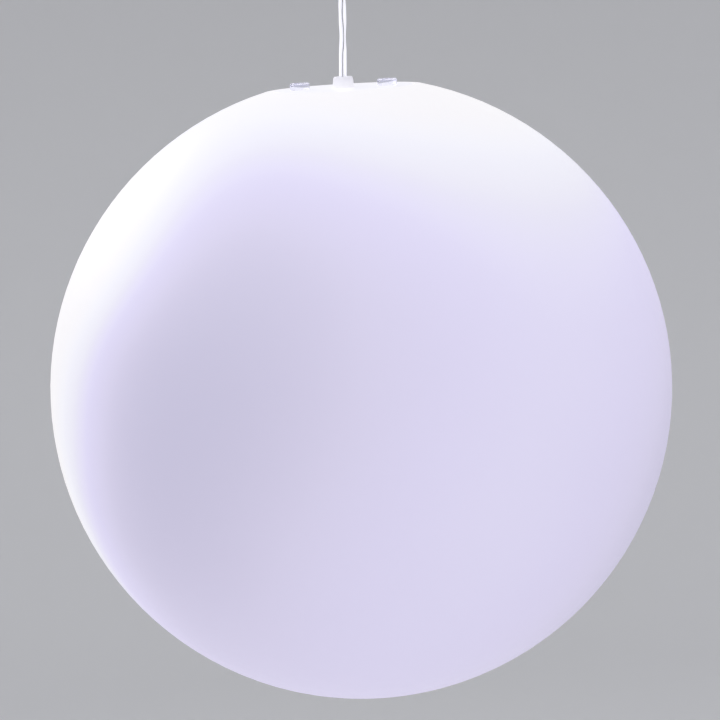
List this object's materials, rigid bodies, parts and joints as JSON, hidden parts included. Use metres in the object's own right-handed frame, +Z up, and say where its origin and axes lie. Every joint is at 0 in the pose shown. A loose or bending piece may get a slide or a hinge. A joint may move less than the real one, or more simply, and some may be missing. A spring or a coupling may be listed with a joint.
{
  "type": "garden globe light",
  "caption": "Hanging outdoor globe light: opal moulded ball with a flush bayonet cap, cable gland, lamp module inside, twin flex and round ceiling fitting.",
  "frame": {"origin": "centre of the ceiling fitting's back face, in the plane of the ceiling", "axes": "+Z up, out of the fitting towards the ceiling, along the globe's axis; +X along the line of the two clear screws; -Y towards the viewer"},
  "size_m": [0.2999, 0.2998, 0.396],
  "materials": {
    "steel": "zinc-plated pressed steel",
    "rubber": "matt foam and washer rubber",
    "white_cover": "satin white moulding",
    "screw_steel": "bright stainless",
    "white_nylon": "satin white nylon",
    "flex": "clear flexible sheath over tinned cores",
    "terminal_plastic": "natural polyamide",
    "brass": "bright",
    "gland_white": "smooth white nylon",
    "cap_white": "translucent white moulding",
    "seal_silicone": "soft white silicone",
    "clear_nylon": "clear, glossy",
    "aluminium": "satin",
    "driver_plastic": "matt black",
    "board_white": "white solder mask",
    "led_yellow": "phosphor under clear resin",
    "lamp_cover": "frosted clear",
    "globe_opal": "translucent opal polyethylene, lit from inside"
  },
  "bodies": {
    "ceiling_fitting": {"ceiling_plate": "steel", "canopy_gasket": "rubber", "canopy_cover": "white_cover", "canopy_screws": "screw_steel", "cord_grip": "white_nylon", "grip_nut": "white_nylon", "clamp_screw": "white_nylon", "cord_tail": "flex", "tail_wires": "flex", "terminal_block": "terminal_plastic", "terminal_screws": "brass"},
    "pendant": {"cord": "flex", "cable_gland": "gland_white", "gland_washer": "rubber", "gland_nut": "white_nylon", "cord_inner": "flex", "cord_stop": "aluminium", "top_cap": "cap_white", "cap_seal": "seal_silicone", "clear_screws": "clear_nylon", "clear_nuts": "clear_nylon", "led_bracket": "aluminium", "driver_case": "driver_plastic", "driver_lid": "driver_plastic", "driver_screws": "screw_steel", "driver_wires": "flex", "heat_sink": "aluminium", "sink_screws": "screw_steel", "led_wires": "flex", "led_board": "board_white", "led_chips": "led_yellow", "board_screws": "screw_steel", "lamp_cover": "lamp_cover"},
    "globe": {"globe_shell": "globe_opal"}
  },
  "joints": [
    {"name": "sway", "type": "hinge", "parent": "ceiling_fitting", "child": "pendant", "pos_m": [0, 0, -0.036], "axis": [0, 1, 0], "range_deg": [-25, 25]},
    {"name": "bayonet_twist", "type": "hinge", "parent": "pendant", "child": "globe", "pos_m": [0, 0, -0.1006], "axis": [0, 0, 1], "range_deg": [0, 35]}
  ]
}
